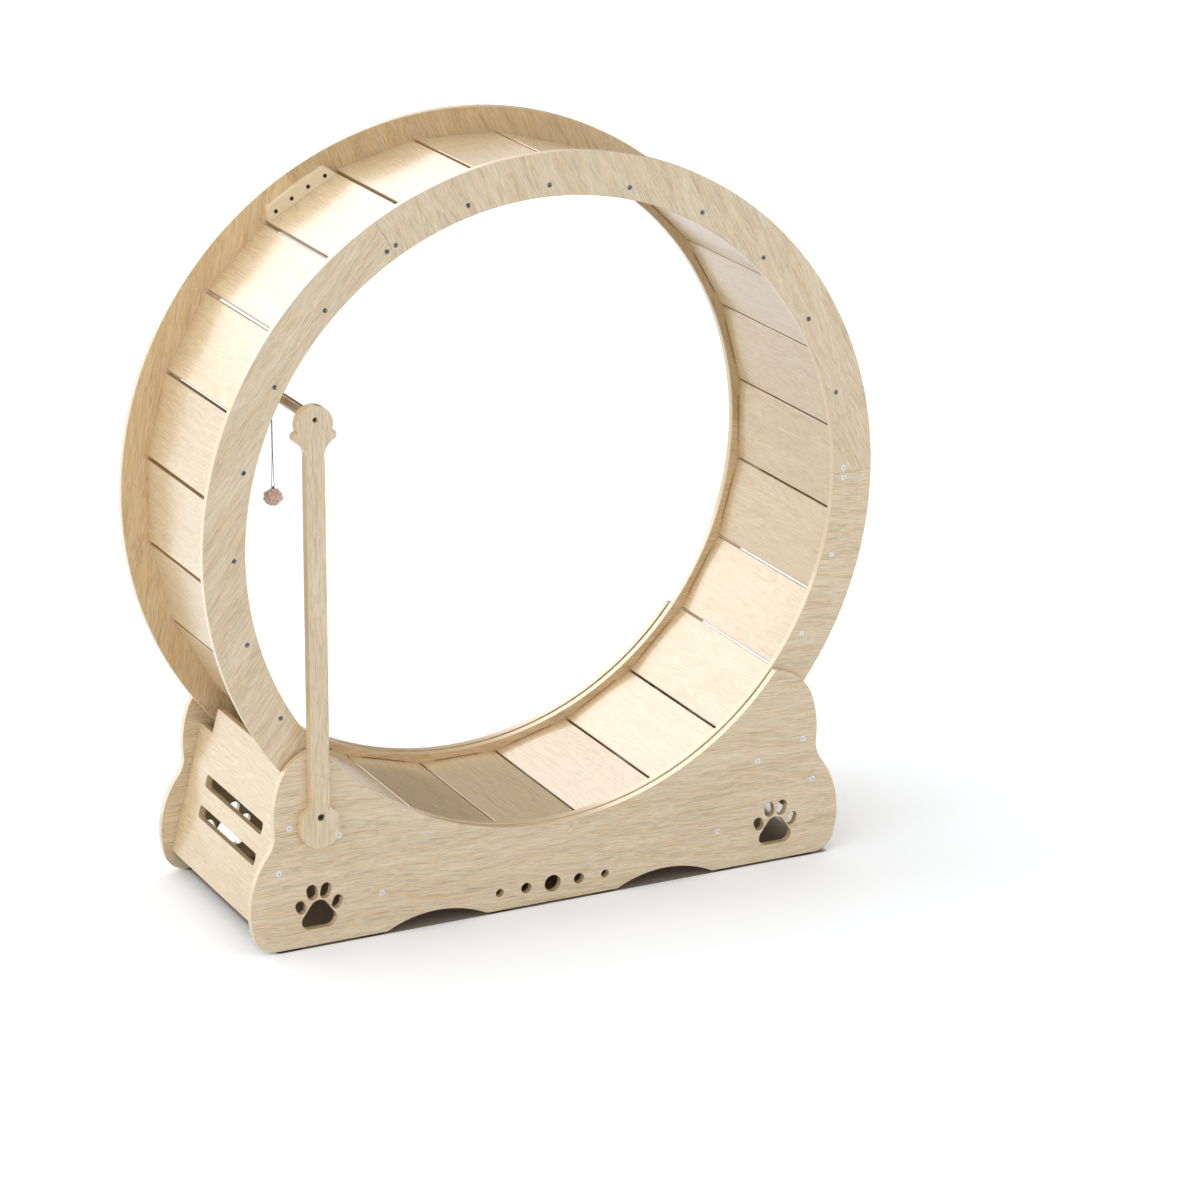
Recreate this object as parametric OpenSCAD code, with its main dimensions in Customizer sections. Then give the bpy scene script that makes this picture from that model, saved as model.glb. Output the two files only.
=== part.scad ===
// Cat exercise wheel: a slatted running wheel of plywood rings that turns on four
// grooved rollers in an open plywood base, with a toy on a cord hung from a post.
// Millimetres, +Z up. The origin lies on the floor, in the middle of the whole
// object's footprint. +X is to the right of the wheel seen from its front, +Y is back.

/* [Wheel] */
// Outside diameter of the wheel
wheel_d = 1100; // [1060:5:1140]
// Radial width of each ring
ring_w = 66; // [62:1:72]
// Thickness of the ring boards
ring_t = 12; // [9:0.5:15]
// Clear width between the two rings
track_w = 316; // [280:2:360]
// Thickness of a slat
slat_t = 12; // [9:0.5:14]
// Gap between neighbouring slats, along the middle of their thickness
slat_gap = 4.5; // [3:0.5:8]
// Depth from the rings' inner edge to the slats' running face
slat_inset = 11.5; // [6:0.5:14]
// Chamfer along the edges of rings and slats
edge_chamfer = 1; // [0.5:0.1:1.5]
// Seam between two ring segments
seam = 0.3; // [0.1:0.1:0.6]

/* [Splice plates] */
// Thickness of a splice plate
splice_t = 12; // [8:0.5:15]
// Radial width of a splice plate at its middle
splice_w = 22; // [18:0.5:24]
// Half angle that a splice plate covers at its outer edge
splice_half_angle = 6.1; // [5.4:0.1:6.3]
// Radius of the plate's outer corners
splice_corner_r = 5; // [3:0.5:7]
// Angle between neighbouring screws of a plate
splice_screw_angle = 3.4; // [3:0.1:3.4]

/* [Base panels] */
// Thickness of the base boards
panel_t = 12; // [9:0.5:15]
// Air gap between a ring and the side panel beside it
wheel_gap = 5; // [4.8:0.1:7]
// Length of a side panel, over its lower lobes
base_l = 989; // [970:1:1010]
// Length of a side panel, over its shoulders
shoulder_l = 911; // [902:1:920]
// Radius of the lower lobes
lobe_r = 147; // [140:1:155]
// Height of the lower lobes' centres over the panel's bottom edge
lobe_h = 66; // [60:1:72]
// Radius of the panel's bottom corners
foot_r = 37; // [30:1:45]
// Radius of the shoulders' long outer arc
shoulder_r = 172; // [160:1:185]
// Height of that arc's centre over the panel's bottom edge
shoulder_h = 206.6; // [202:0.2:212]
// Radius of the shoulders' round top
crown_r = 74.5; // [70:0.5:80]
// Angle at which the outer arc turns into the round top
crown_angle = 18.4; // [14:0.2:22]
// Radius of the waist between shoulder and lobe
waist_r = 48; // [42:1:55]
// Step from the rings' inner edge down to the panel's top edge
top_step = 0; // [0:0.5:5]
// Distance from the middle of the base to the middle of each bottom arch
arch_x = 193; // [185:1:200]
// Width of each bottom arch
arch_w = 164; // [150:1:175]
// Rise of each bottom arch
arch_h = 20; // [15:0.5:24]
// Radius where an arch meets the foot beside it
arch_fillet_r = 14; // [8:1:20]

/* [Cut-outs] */
// Diameter of the middle hole of the row
row_hole_d = 27; // [22:0.5:30]
// Diameter of the two holes beside it
row_next_d = 17; // [14:0.5:20]
// Diameter of the two end holes of the row
row_end_d = 13; // [10:0.5:15]
// Spacing of the holes of the row
row_pitch = 44.5; // [40:0.5:50]
// Height of the row over the panel's bottom edge
row_h = 28.5; // [26:0.5:32]
// Distance of each paw cut-out from the middle of the base
paw_x = 385; // [378:1:392]
// Height of the paw cut-outs over the panel's bottom edge
paw_h = 59; // [54:1:62]
// Height of a paw cut-out
paw_size = 78; // [64:1:84]

/* [End panels] */
// Lean of the end panels from upright
end_lean = 14.7; // [12:0.1:16]
// Distance from the middle of the base to an end panel's lower screws
end_x = 449; // [446:1:455]
// Height of those screws over the panel's bottom edge
end_h = 124.2; // [120:0.2:128]
// Distance from the lower screws to the upper ones, along the board
end_screw_pitch = 71.3; // [60:0.1:80]
// Length of the board below its lower screws
end_below = 94; // [80:1:100]
// Length of the board from its lower screws to its shoulders
end_above = 115; // [105:1:118]
// Length of the tongue above the shoulders
tongue_l = 39; // [30:1:44]
// Width of the tongue
tongue_w = 254; // [220:2:270]
// Length of each slot
slot_l = 223; // [200:1:230]
// Width of each slot
slot_w = 19.5; // [16:0.5:22]
// Radius of the slots' corners
slot_corner_r = 6; // [4:0.5:7]
// Radius of the tongue's corners
tongue_r = 4; // [2:0.5:10]
// Distance from the lower screws to the middle of the lower slot, downwards
slot_drop = 6.2; // [4:0.2:8]
// Distance between the middles of the two slots
slot_pitch = 49; // [46:0.5:54]

/* [Rollers and rods] */
// Distance from the middle of the base to the roller shafts
roller_x = 352; // [345:1:358]
// Height of the roller shafts over the panel's bottom edge
roller_h = 169; // [165:0.5:173]
// Radius of a roller at the bottom of its groove
tread_r = 15; // [14:0.5:18]
// Depth of the groove
groove_depth = 5; // [3:0.5:6]
// Thickness of each flange beside the groove
flange_t = 3.5; // [3:0.1:4]
// Clearance at each side of a ring in its groove
groove_play = 0.5; // [0.4:0.1:0.8]
// Diameter of the roller shafts
shaft_d = 8; // [7:0.5:9]
// Outside diameter of a ball bearing
bearing_d = 22; // [20:0.5:24]
// Width of a ball bearing
bearing_w = 7; // [5:0.5:8]
// Outside diameter of the spacer tubes on the shafts
spacer_d = 12; // [11:0.5:14]
// Distance from the middle of the base to the cross rods
cross_x = 284; // [276:1:292]
// Height of the cross rods over the panel's bottom edge
cross_h = 64.3; // [58:0.1:70]
// Diameter of the cross rods
cross_d = 25; // [20:1:30]

/* [Feet] */
// Thickness of the foot pads
pad_t = 3; // [2:0.5:5]
// Length of a foot pad
pad_l = 40; // [30:1:50]
// Distance from a panel's face to the pad's edge
pad_inset = 1; // [0.5:0.5:2]

/* [Toy post] */
// Distance from the front ring's inner edge in to the axis of the toy's dowel
dowel_inset = 45.3; // [42:0.1:60]
// Angle from level at which the dowel lies over the wheel's centre
dowel_rise = 28; // [26:0.5:32]
// Height of the post's lower bolt over the panel's bottom edge
post_h = 209.3; // [206:0.1:212]
// Width of the post's shaft
post_w = 29; // [26:0.5:32]
// Thickness of the post
post_t = 18; // [15:0.5:22]
// Radius of the lower lug
lug_r = 31.4; // [30:0.2:34]
// Distance from the lower bolt down to the lug's centre
lug_drop = 18.2; // [16:0.2:20]
// Radius of the lug's shoulders
lug_side_r = 14.5; // [13:0.1:15]
// Distance from the post's middle line to the shoulders' centres
lug_side_x = 16; // [15.4:0.1:16.6]
// Distance from the lower bolt down to the shoulders' centres
lug_side_drop = 4.5; // [3:0.1:6]
// Radius of the fillets between the lug and the shaft
lug_fillet_r = 12; // [10:0.5:16]
// Radius of the head's round top
head_r = 28; // [26:0.5:30]
// Distance from the upper hole down to the centre of the round top
head_drop = 7.5; // [5:0.5:10]
// Width of the head over its cheeks
cheek_span = 66.5; // [64:0.5:70]
// Radius of a cheek
cheek_r = 8; // [7:0.5:9]
// Distance from the upper hole down to the cheeks' centres
cheek_drop = 25; // [23:0.5:28]
// Width of the neck below the head
neck_w = 27.6; // [25:0.2:28.4]
// Radius of the neck's hollow curves
neck_r = 27; // [22:0.5:32]
// Length over which the neck widens to the shaft
neck_taper_l = 15; // [10:0.5:20]
// Diameter of the lower hole's sunk part
post_sink_d = 10.5; // [10.3:0.1:12]
// Diameter of the upper hole's sunk part
head_sink_d = 8; // [7.8:0.1:9]
// Depth of both sunk parts
sink_depth = 8; // [6:0.5:10]
// Diameter of the toy's dowel
dowel_d = 17; // [15:0.5:20]
// Length of the toy's dowel
dowel_l = 180; // [165:1:200]
// Width of the slot along the top of the dowel
dowel_slot_w = 3; // [2:0.5:4]
// Depth of that slot
dowel_slot_d = 5; // [3:0.5:5]

/* [Toy] */
// Distance from the front ring's face back to the toy
toy_y = 128; // [110:1:140]
// Diameter of the toy's cord
cord_d = 2; // [1.5:0.1:2.5]
// Diameter of the ball
ball_d = 31; // [26:1:36]
// Distance from the dowel's axis down to the ball's centre
ball_drop = 161; // [150:1:170]

/* [Screws] */
// Head diameter of the slats' screws
slat_head_d = 7.5; // [7:0.1:8]
// Shank diameter of the slats' screws
slat_shank_d = 3.5; // [3:0.1:4]
// Length of the slats' screws
slat_screw_l = 40; // [30:1:50]
// Head diameter of the splice plates' screws
splice_head_d = 6.5; // [6:0.1:7]
// Length of the splice plates' screws
splice_screw_l = 19; // [15:0.5:20]
// Head diameter of the base's screws
base_head_d = 9; // [8.5:0.1:10]
// Shank diameter of the base's screws
base_shank_d = 4; // [3.6:0.1:4.4]
// Length of the base's screws
base_screw_l = 40; // [34:1:50]
// Diameter of the post's bolt
bolt_d = 6; // [5:0.5:6.5]
// Wall of the bolt's threaded insert
insert_wall = 1.5; // [1:0.1:2]
// Thickness of the insert's flange
insert_flange_t = 1.5; // [1:0.1:2]
// Shank diameter of the dowel's screw
dowel_screw_d = 4; // [3.5:0.1:4.5]
// Length of the dowel's screw
dowel_screw_l = 45; // [35:1:60]

/* [Hidden] */
// Every separate piece, by name
$fn = 96;

// Running clearance between pieces of different bodies
play = 0.3;
// Clearance of a screw, tenon or bearing in its seat, on each side
fit = 0.05;
// How far a cutting shape runs past the faces that it cuts
over = 2;
// How far a drawn arc may lie from the true one
sag = 0.04;

// Counts that the construction is drawn for
slat_count = 24;
segment_count = 3;
plate_screws = 4;
segment_slats = slat_count / segment_count;
slat_angle = 360 / slat_count;
segment_angle = 360 / segment_count;

// Radii of the wheel
ring_ro = wheel_d / 2;
ring_ri = ring_ro - ring_w;
slat_ri = ring_ri + slat_inset;
slat_rm = slat_ri + slat_t / 2;
slat_ro = slat_ri + slat_t;
slat_w = 2 * slat_rm * tan(slat_angle / 2) - slat_gap;

// Each slat ends in a flat tenon that sits in a shallow mortise of the ring
tenon_w_share = 0.6;
tenon_w = slat_w * tenon_w_share;
tenon_l = 5;
// Open gap on the mortise's inner side
mortise_gap = 1;
// A slat at a seam has one screw at each side of it
seam_screw_x = 8;

// Places across the width: the base and the wheel share one middle plane
mid_y = post_t / 2;
wheel_depth = track_w + 2 * ring_t;
inner_w = wheel_depth + 2 * wheel_gap;
base_w = inner_w + 2 * panel_t;

// Height of the wheel's centre: its rings rest in the grooves of the rollers
shaft_z = pad_t + roller_h;
mesh_r = ring_ro + tread_r + play;
wheel_z = shaft_z + sqrt(mesh_r * mesh_r - roller_x * roller_x);

// A screw's cross recess, as shares of its head
recess_l_share = 0.55;
recess_w_share = 0.15;
recess_depth_share = 0.2;
// Sizes of the post's bolt and the dowel's screw, as shares of their diameters
bolt_head_share = 0.9;
pan_share = 0.7;
socket_share = 0.7;

// Points on an arc about c, from angle a0 up to angle a1 but without its last point
function arc(c, r, a0, a1) =
    let (
        step = 2 * acos(1 - sag / r),
        n = max(2, ceil(abs(a1 - a0) / step))
    )
    [for (i = [0:n - 1]) let (a = a0 + (a1 - a0) * i / n) c + r * [cos(a), sin(a)]];

// The same arc with its last point
function whole_arc(c, r, a0, a1) = concat(arc(c, r, a0, a1), [c + r * [cos(a1), sin(a1)]]);

// Where two circles meet, on the right of the line from c1 to c2 (side 1) or left (side -1)
function meet(c1, r1, c2, r2, side) =
    let (
        d = norm(c2 - c1),
        e = (c2 - c1) / d,
        t = (r1 * r1 - r2 * r2 + d * d) / (2 * d),
        h = sqrt(r1 * r1 - t * t)
    )
    c1 + t * e + side * h * [e[1], -e[0]];

// The direction from a centre c to a point p, from 0 to 360 degrees or from -180 to 180
function angle_to(c, p) = atan2(p[1] - c[1], p[0] - c[0]);
function turn_to(c, p) = let (a = angle_to(c, p)) a < 0 ? a + 360 : a;

// A half outline with its mirror image: across the line X = 0, or across the line Y = 0
function both_sides(half) =
    concat(half, [for (i = [len(half) - 1:-1:0]) if (half[i][0] > 0) [-half[i][0], half[i][1]]]);
function both_ends(half) =
    concat([for (i = [len(half) - 1:-1:0]) if (half[i][1] > 0) [half[i][0], -half[i][1]]], half);

// A flat outline in X and Z, made a board from y to y + t
module board(y, t) {
    translate([0, y + t, 0]) rotate([90, 0, 0]) linear_extrude(t) children();
}

// Turns what points along +Z so that it points back (dir 1) or forward (dir -1)
module along_y(x, y, z, dir) {
    translate([x, y, z]) rotate([-90 * dir, 0, 0]) children();
}

// Puts children on the wheel: angle a from +X, radius r, then x along the rim
module on_wheel(a, r, x) {
    translate([0, 0, wheel_z]) rotate([0, -a, 0]) translate([r, 0, x]) children();
}

// A countersunk screw that points along +Z, with its flat top at z = 0
module screw(head_d, shank_d, l) {
    cone = (head_d - shank_d) / 2;
    arm = head_d * recess_l_share;
    slit = head_d * recess_w_share;
    deep = head_d * recess_depth_share;
    difference() {
        union() {
            cylinder(r1 = head_d / 2, r2 = shank_d / 2, h = cone);
            translate([0, 0, cone]) cylinder(d = shank_d, h = l - cone);
        }
        translate([-arm / 2, -slit / 2, -over]) cube([arm, slit, over + deep]);
        translate([-slit / 2, -arm / 2, -over]) cube([slit, arm, over + deep]);
    }
}

// The hole for such a screw, a little larger all round
module screw_hole(head_d, shank_d, l) {
    cone = (head_d - shank_d) / 2;
    translate([0, 0, -over]) cylinder(r = head_d / 2 + fit, h = over + fit);
    translate([0, 0, fit]) cylinder(r1 = head_d / 2 + fit, r2 = shank_d / 2 + fit, h = cone);
    cylinder(r = shank_d / 2 + fit, h = l + fit);
}

// Screws through the ring on side (front -1, back 1) into the slat at number i
module slat_end_screws(i, side, offsets, hole) {
    for (x = offsets)
        on_wheel(i * slat_angle, slat_rm, x)
            along_y(0, mid_y + side * wheel_depth / 2, 0, -side)
                if (hole) screw_hole(slat_head_d, slat_shank_d, slat_screw_l);
                else screw(slat_head_d, slat_shank_d, slat_screw_l);
}

function slat_offsets(i) = i % segment_slats == 0 ? [-seam_screw_x, seam_screw_x] : [0];
function segment_offsets(k) = k == 0 ? [seam_screw_x] : k == segment_slats ? [-seam_screw_x] : [0];

// The splice plates lie against the slats' outer faces and the rings' inner faces
splice_seat = slat_ro + fit;
splice_ro = splice_seat + splice_w;
splice_screw_share = 0.44;
splice_screw_r = splice_seat + splice_w * splice_screw_share;

// Screws from a splice plate out into the ring, at seam s, for the numbers in picks
module seam_screws(s, side, picks, hole) {
    for (k = picks)
        on_wheel(s * segment_angle + (k - (plate_screws - 1) / 2) * splice_screw_angle,
                 splice_screw_r, 0)
            along_y(0, mid_y + side * (track_w / 2 - splice_t), 0, side)
                if (hole) screw_hole(splice_head_d, slat_shank_d, splice_screw_l);
                else screw(splice_head_d, slat_shank_d, splice_screw_l);
}

// One third of a ring, chamfered all round and cut square at its seams
module ring_segment(index, side) {
    c = edge_chamfer;
    outer_y = mid_y + side * wheel_depth / 2;
    seam_y = mid_y - wheel_depth / 2 - over;
    seam_l = wheel_depth + 2 * over;
    reach = 2 * ring_ro;
    profile = [
        [ring_ri + c, 0], [ring_ro - c, 0], [ring_ro, c], [ring_ro, ring_t - c],
        [ring_ro - c, ring_t], [ring_ri + c, ring_t], [ring_ri, ring_t - c], [ring_ri, c]
    ];
    color("burlywood")
    difference() {
        along_y(0, outer_y, wheel_z, -side) rotate_extrude($fn = 360) polygon(profile);
        translate([0, seam_y, wheel_z]) rotate([0, -index * segment_angle, 0])
            translate([-reach, 0, -reach]) cube([2 * reach, seam_l, reach + seam / 2]);
        translate([0, seam_y, wheel_z]) rotate([0, -(index + 1) * segment_angle, 0])
            translate([-reach, 0, -seam / 2]) cube([2 * reach, seam_l, reach]);
        for (k = [0:segment_slats]) {
            slat_end_screws(index * segment_slats + k, side, segment_offsets(k), true);
            mortise(index * segment_slats + k, side);
        }
        seam_screws(index, side, [plate_screws / 2:plate_screws - 1], true);
        seam_screws(index + 1, side, [0:plate_screws / 2 - 1], true);
    }
}

// The shallow mortise for a slat's tenon
module mortise(i, side) {
    deep = tenon_l + fit;
    y = mid_y + side * (track_w / 2 + deep / 2);
    on_wheel(i * slat_angle, slat_ri - mortise_gap, -tenon_w / 2 - fit)
        translate([0, y - deep / 2 - (side < 0 ? 0 : over), 0])
            cube([mortise_gap + slat_t + fit, deep + over, tenon_w + 2 * fit]);
}

// One slat of the running track, chamfered along its edges, with a tenon at each end
module slat(i) {
    c = edge_chamfer;
    hw = slat_w / 2;
    profile = [
        [slat_ri, -hw + c], [slat_ri + c, -hw], [slat_ro - c, -hw], [slat_ro, -hw + c],
        [slat_ro, hw - c], [slat_ro - c, hw], [slat_ri + c, hw], [slat_ri, hw - c]
    ];
    color("wheat")
    difference() {
        union() {
            translate([0, mid_y + track_w / 2, wheel_z]) rotate([90, 0, 0])
                rotate([0, 0, i * slat_angle]) linear_extrude(track_w) polygon(profile);
            on_wheel(i * slat_angle, slat_ri, -tenon_w / 2)
                translate([0, mid_y - track_w / 2 - tenon_l, 0])
                    cube([slat_t, track_w + 2 * tenon_l, tenon_w]);
        }
        slat_end_screws(i, -1, slat_offsets(i), true);
        slat_end_screws(i, 1, slat_offsets(i), true);
    }
}

// A splice plate's outline about +X: straight along the slat and round along the ring
function splice_outline() =
    let (
        r = splice_corner_r,
        ca = splice_half_angle - asin(r / (splice_ro - r)),
        c = (splice_ro - r) * [cos(ca), sin(ca)],
        foot = [splice_seat, slat_w / 2 - edge_chamfer],
        side_a = turn_to(c, foot) - acos(r / norm(foot - c))
    )
    both_ends(concat(arc([0, 0], splice_ro, 0, ca), arc(c, r, ca, side_a), [foot]));

module splice_plates(side) {
    y = mid_y + side * (track_w / 2 - splice_t / 2) - splice_t / 2;
    color("burlywood")
    difference() {
        for (s = [0:segment_count - 1])
            translate([0, y + splice_t, wheel_z]) rotate([90, 0, 0])
                rotate([0, 0, s * segment_angle])
                    linear_extrude(splice_t) polygon(splice_outline());
        for (s = [0:segment_count - 1]) seam_screws(s, side, [0:plate_screws - 1], true);
    }
}

module slat_screws() {
    color("gray")
    for (i = [0:slat_count - 1], side = [-1, 1])
        slat_end_screws(i, side, slat_offsets(i), false);
}

module splice_screws() {
    color("dimgray")
    for (s = [0:segment_count - 1], side = [-1, 1])
        seam_screws(s, side, [0:plate_screws - 1], false);
}

// Centres of a side panel's outer arcs: shoulder, round top, lower lobe, bottom corner, waist
shoulder_c = [shoulder_l / 2 - shoulder_r, pad_t + shoulder_h];
crown_c = shoulder_c + (shoulder_r - crown_r) * [cos(crown_angle), sin(crown_angle)];
lobe_c = [base_l / 2 - lobe_r, pad_t + lobe_h];
foot_x = lobe_c[0] + sqrt(pow(lobe_r - foot_r, 2) - pow(lobe_h - foot_r, 2));
foot_c = [foot_x, pad_t + foot_r];
waist_c = meet(shoulder_c, shoulder_r + waist_r, lobe_c, lobe_r + waist_r, -1);

// The panel's top edge is an arc about the wheel, and ends in a point at each round top
cradle_c = [0, wheel_z];
cradle_r = ring_ri + top_step;
tip = meet(cradle_c, cradle_r, crown_c, crown_r, -1);

// Each bottom arch is one arc, with a rounded edge where it meets the foot at either side
arch_r = (pow(arch_w / 2, 2) + arch_h * arch_h) / (2 * arch_h);
arch_c = [arch_x, pad_t + arch_h - arch_r];
arch_rise = pad_t + arch_fillet_r - arch_c[1];
arch_reach = sqrt(pow(arch_r + arch_fillet_r, 2) - arch_rise * arch_rise);
inner_fillet_c = [arch_x - arch_reach, pad_t + arch_fillet_r];
outer_fillet_c = [arch_x + arch_reach, pad_t + arch_fillet_r];

function panel_outline() = both_sides(concat(
    arc(inner_fillet_c, arch_fillet_r, -90, angle_to(inner_fillet_c, arch_c)),
    arc(arch_c, arch_r, angle_to(arch_c, inner_fillet_c), angle_to(arch_c, outer_fillet_c)),
    arc(outer_fillet_c, arch_fillet_r, angle_to(outer_fillet_c, arch_c), -90),
    arc(foot_c, foot_r, -90, angle_to(lobe_c, foot_c)),
    arc(lobe_c, lobe_r, angle_to(lobe_c, foot_c), angle_to(lobe_c, waist_c)),
    arc(waist_c, waist_r, turn_to(waist_c, lobe_c), turn_to(waist_c, shoulder_c)),
    arc(shoulder_c, shoulder_r, angle_to(shoulder_c, waist_c), crown_angle),
    arc(crown_c, crown_r, crown_angle, angle_to(crown_c, tip)),
    arc(cradle_c, cradle_r, angle_to(cradle_c, tip), -90),
    [[0, wheel_z - cradle_r]]
));

// Places of the base's screws, the same in both panels
end_z = pad_t + end_h;
cross_z = pad_t + cross_h;
function end_place(side, up) =
    [side * (end_x - up * sin(end_lean)), end_z + up * cos(end_lean)];
function end_places(side) = [end_place(side, 0), end_place(side, end_screw_pitch)];
function cross_place(side) = [side * cross_x, cross_z];
function roller_place(side) = [side * roller_x, shaft_z];
function side_places(side) =
    concat(end_places(side), [cross_place(side), roller_place(side)]);

// Screws through both side panels at the given places
module panel_screws(places, hole) {
    for (p = places, dir = [-1, 1])
        along_y(p[0], mid_y - dir * base_w / 2, p[1], dir)
            if (hole) screw_hole(base_head_d, base_shank_d, base_screw_l);
            else screw(base_head_d, base_shank_d, base_screw_l);
}

// The row of round holes in the middle of a side panel
module hole_row() {
    sizes = [row_hole_d, row_next_d, row_end_d];
    reach = len(sizes) - 1;
    for (k = [-reach:reach])
        translate([k * row_pitch, pad_t + row_h]) circle(d = sizes[abs(k)]);
}

// The outline of a round-ended bar from a to b, r in radius
function bar_outline(a, b, r) =
    let (t = angle_to(a, b))
    concat(whole_arc(a, r, t + 90, t + 270), whole_arc(b, r, t - 90, t + 90));

// A paw print: a pad of three lobes and four toes, as shares of its height
paw_lobe_share = [0.19, -0.25, 0.17];
paw_brow_share = [-0.04, 0.2];
paw_toe_shares = [[[0.36, 0.02], [0.39, 0.1], 0.1], [[0.13, 0.28], [0.15, 0.38], 0.11]];
module paw() {
    s = paw_size;
    lobe = s * [paw_lobe_share[0], paw_lobe_share[1]];
    lobe_size = s * paw_lobe_share[2];
    brow = s * [0, paw_brow_share[0]];
    brow_size = s * paw_brow_share[1];
    a = angle_to(brow, lobe) + acos((brow_size - lobe_size) / norm(lobe - brow));
    polygon(both_sides(concat(
        [[0, lobe[1] - lobe_size]],
        arc(lobe, lobe_size, -90, a),
        arc(brow, brow_size, a, 90),
        [[0, brow[1] + brow_size]]
    )));
    for (side = [-1, 1], toe = paw_toe_shares)
        polygon(bar_outline(s * [side * toe[0][0], toe[0][1]],
                            s * [side * toe[1][0], toe[1][1]], s * toe[2]));
}

// A side panel, front (-1) or back (1)
module side_panel(side) {
    y = mid_y + side * (base_w / 2 - panel_t / 2) - panel_t / 2;
    color("burlywood")
    difference() {
        board(y, panel_t) difference() {
            polygon(panel_outline());
            hole_row();
            for (end = [-1, 1]) translate([end * paw_x, pad_t + paw_h]) paw();
        }
        panel_screws(concat(side_places(-1), side_places(1)), true);
        if (side < 0) post_bolt_hole();
    }
}

// A leaning end panel, left (-1) or right (1), with two slots to lift it by
module end_panel(side) {
    color("wheat")
    difference() {
        translate([side * end_x, mid_y, end_z]) rotate([0, -side * end_lean, 0])
            translate([-panel_t / 2, 0, 0]) rotate([90, 0, 90]) linear_extrude(panel_t)
                difference() {
                    end_outline();
                    translate([0, -slot_drop]) slot();
                    translate([0, slot_pitch - slot_drop]) slot();
                }
        panel_screws(end_places(side), true);
    }
}

module slot() {
    x = slot_l / 2 - slot_corner_r;
    y = slot_w / 2 - slot_corner_r;
    for (a = [-x, x], b = [-y, y]) translate([a, b]) circle(slot_corner_r);
    square([slot_l, 2 * y], center = true);
    square([2 * x, slot_w], center = true);
}

module end_outline() {
    hw = inner_w / 2;
    tw = tongue_w / 2;
    r = tongue_r;
    top = end_above + tongue_l;
    polygon(both_sides(concat(
        [[hw, -end_below], [hw, end_above], [tw, end_above]],
        arc([tw - r, top - r], r, 0, 90),
        [[tw - r, top]]
    )));
}

module cross_rod(side) {
    color("burlywood")
    difference() {
        along_y(side * cross_x, mid_y - inner_w / 2, cross_z, 1)
            cylinder(d = cross_d, h = inner_w);
        panel_screws([cross_place(side)], true);
    }
}

module roller_shaft(side) {
    color("silver")
    difference() {
        along_y(side * roller_x, mid_y - inner_w / 2, shaft_z, 1)
            cylinder(d = shaft_d, h = inner_w);
        panel_screws([roller_place(side)], true);
    }
}

// A roller's groove is a little wider than the ring that runs in it
groove_w = ring_t + 2 * groove_play;
roller_w = groove_w + 2 * flange_t;
flange_r = tread_r + groove_depth;
roller_end = track_w / 2 + ring_t / 2 + roller_w / 2;
web_step = 2;
web_r = bearing_d / 2 - web_step;
flange_edge = 1;

// Half sections from the axis out (X) and along it (Y), turned to make the round pieces
function roller_section() = [
    [bearing_d / 2 + fit, 0], [flange_r - flange_edge, 0], [flange_r, flange_edge],
    [flange_r, flange_t - flange_edge], [tread_r, flange_t], [tread_r, roller_w - flange_t],
    [flange_r, roller_w - flange_t + flange_edge], [flange_r, roller_w - flange_edge],
    [flange_r - flange_edge, roller_w], [bearing_d / 2 + fit, roller_w],
    [bearing_d / 2 + fit, roller_w - bearing_w], [web_r, roller_w - bearing_w],
    [web_r, bearing_w], [bearing_d / 2 + fit, bearing_w]
];

module roller(x_side, side) {
    color("dimgray")
    along_y(x_side * roller_x, mid_y + side * roller_end, shaft_z, -side)
        rotate_extrude() polygon(roller_section());
}

// A ball bearing: its two races stand a little proud of the shield between them
race_w = 2;
shield_step = 0.4;
function bearing_section() = [
    [shaft_d / 2 + fit, 0], [shaft_d / 2 + race_w, 0], [shaft_d / 2 + race_w, shield_step],
    [bearing_d / 2 - race_w, shield_step], [bearing_d / 2 - race_w, 0], [bearing_d / 2, 0],
    [bearing_d / 2, bearing_w], [bearing_d / 2 - race_w, bearing_w],
    [bearing_d / 2 - race_w, bearing_w - shield_step],
    [shaft_d / 2 + race_w, bearing_w - shield_step], [shaft_d / 2 + race_w, bearing_w],
    [shaft_d / 2 + fit, bearing_w]
];

module bearings(x_side, side) {
    color("lightgray")
    for (along = [0, roller_w - bearing_w])
        along_y(x_side * roller_x, mid_y + side * (roller_end - along), shaft_z, -side)
            rotate_extrude() polygon(bearing_section());
}

// On each shaft a thin washer lies at each side panel, and a tube between the rollers
module roller_spacers() {
    tube_l = 2 * (roller_end - roller_w - play);
    washer_t = inner_w / 2 - roller_end - play;
    color("silver")
    for (x_side = [-1, 1]) {
        spacer(x_side, mid_y - tube_l / 2, tube_l);
        spacer(x_side, mid_y - inner_w / 2, washer_t);
        spacer(x_side, mid_y + inner_w / 2 - washer_t, washer_t);
    }
}

module spacer(x_side, y, l) {
    along_y(x_side * roller_x, y, shaft_z, 1) difference() {
        cylinder(d = spacer_d, h = l);
        translate([0, 0, -over]) cylinder(r = shaft_d / 2 + fit, h = l + 2 * over);
    }
}

module base_screws() {
    color("silver") panel_screws(concat(side_places(-1), side_places(1)), false);
}

// Two pads under each of a side panel's three feet
module foot_pads() {
    r = panel_t / 2 - pad_inset;
    half = pad_l / 2 - r;
    places = [inner_fillet_c[0] - pad_l / 2, outer_fillet_c[0] + pad_l / 2, foot_x - pad_l / 2];
    color("dimgray")
    for (x = places, x_side = [-1, 1], side = [-1, 1])
        translate([x_side * x, mid_y + side * (base_w - panel_t) / 2, 0])
            linear_extrude(pad_t) polygon(bar_outline([-half, 0], [half, 0], r));
}

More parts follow.
